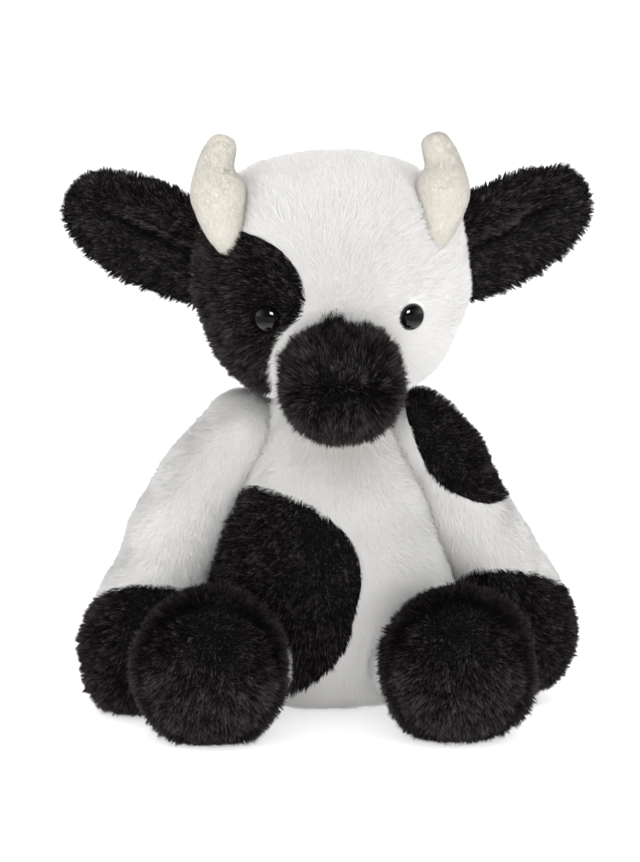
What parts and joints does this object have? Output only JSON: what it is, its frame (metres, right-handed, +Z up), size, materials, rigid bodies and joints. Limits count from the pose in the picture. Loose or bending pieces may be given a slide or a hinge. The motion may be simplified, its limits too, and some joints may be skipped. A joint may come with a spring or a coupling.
{
  "type": "plush cow",
  "caption": "Sitting plush cow with a round head, cupped ears, soft horns and stuffed limbs, each turning in its sewn joint.",
  "frame": {"origin": "on the table, under the middle of the whole cow", "axes": "+Z up, the face looks along -Y, +X is the cow's own left side"},
  "size_m": [0.2656, 0.223, 0.2942],
  "materials": {
    "white_fur": "matte",
    "black_fur": "matte",
    "cream_velour": "matte",
    "fibre": "matte",
    "muslin": "matte",
    "eye_plastic": "gloss",
    "washer_plastic": "satin"
  },
  "bodies": {
    "body": {"body_skin": "white_fur", "belly_patch": "black_fur", "body_stuffing": "fibre", "pellet_bag": "muslin"},
    "arm_right": {"arm_right_sleeve": "white_fur", "arm_right_hoof": "black_fur", "arm_right_stuffing": "fibre"},
    "arm_left": {"arm_left_sleeve": "white_fur", "arm_left_shoulder_patch": "black_fur", "arm_left_hoof": "black_fur", "arm_left_stuffing": "fibre"},
    "leg_right": {"leg_right_foot": "black_fur", "leg_right_sole": "black_fur", "leg_right_sleeve": "white_fur", "leg_right_stuffing": "fibre"},
    "leg_left": {"leg_left_foot": "black_fur", "leg_left_sole": "black_fur", "leg_left_sleeve": "white_fur", "leg_left_stuffing": "fibre"},
    "tail": {"tail_skin": "white_fur", "tail_tuft": "black_fur"},
    "head": {"head_skin": "white_fur", "eye_patch": "black_fur", "head_stuffing": "fibre", "eye_left": "eye_plastic", "eye_right": "eye_plastic", "eye_left_washer": "washer_plastic", "eye_right_washer": "washer_plastic", "muzzle_nose": "black_fur", "muzzle_chin": "black_fur", "muzzle_stuffing": "fibre", "horn_left_skin": "cream_velour", "horn_left_stuffing": "fibre", "horn_right_skin": "cream_velour", "horn_right_stuffing": "fibre"},
    "ear_left": {"ear_left_front": "black_fur", "ear_left_back": "black_fur"},
    "ear_right": {"ear_right_front": "black_fur", "ear_right_back": "black_fur"}
  },
  "joints": [
    {"name": "neck", "type": "hinge", "parent": "body", "child": "head", "pos_m": [0.00114, 0.0055, 0.162], "axis": [0, 0, 1], "range_deg": [-30, 30], "stiffness_Nm_per_rad": 0.3},
    {"name": "shoulder_left", "type": "hinge", "parent": "body", "child": "arm_left", "pos_m": [0.04314, 0.0035, 0.14], "axis": [0, -1, 0], "range_deg": [0, 70], "stiffness_Nm_per_rad": 0.05},
    {"name": "shoulder_right", "type": "hinge", "parent": "body", "child": "arm_right", "pos_m": [-0.04086, 0.0035, 0.14], "axis": [0, 1, 0], "range_deg": [0, 70], "stiffness_Nm_per_rad": 0.05},
    {"name": "hip_left", "type": "hinge", "parent": "body", "child": "leg_left", "pos_m": [0.04314, -0.0415, 0.03], "axis": [-0.781, -0.6246, 0], "range_deg": [0, 25], "stiffness_Nm_per_rad": 0.1},
    {"name": "hip_right", "type": "hinge", "parent": "body", "child": "leg_right", "pos_m": [-0.04086, -0.0415, 0.03], "axis": [-0.863, 0.5052, 0], "range_deg": [0, 25], "stiffness_Nm_per_rad": 0.1},
    {"name": "tail_root", "type": "hinge", "parent": "body", "child": "tail", "pos_m": [0.00114, 0.059, 0.046], "axis": [1, 0, 0], "range_deg": [0, 60], "stiffness_Nm_per_rad": 0.01},
    {"name": "ear_root_left", "type": "hinge", "parent": "head", "child": "ear_left", "pos_m": [0.06067, 0.02022, 0.229], "axis": [-0.4448, -0.035, 0.8949], "range_deg": [-16, 16], "stiffness_Nm_per_rad": 0.02},
    {"name": "ear_root_right", "type": "hinge", "parent": "head", "child": "ear_right", "pos_m": [-0.05996, 0.01072, 0.229], "axis": [0.4448, 0.035, 0.8949], "range_deg": [-16, 16], "stiffness_Nm_per_rad": 0.02}
  ]
}
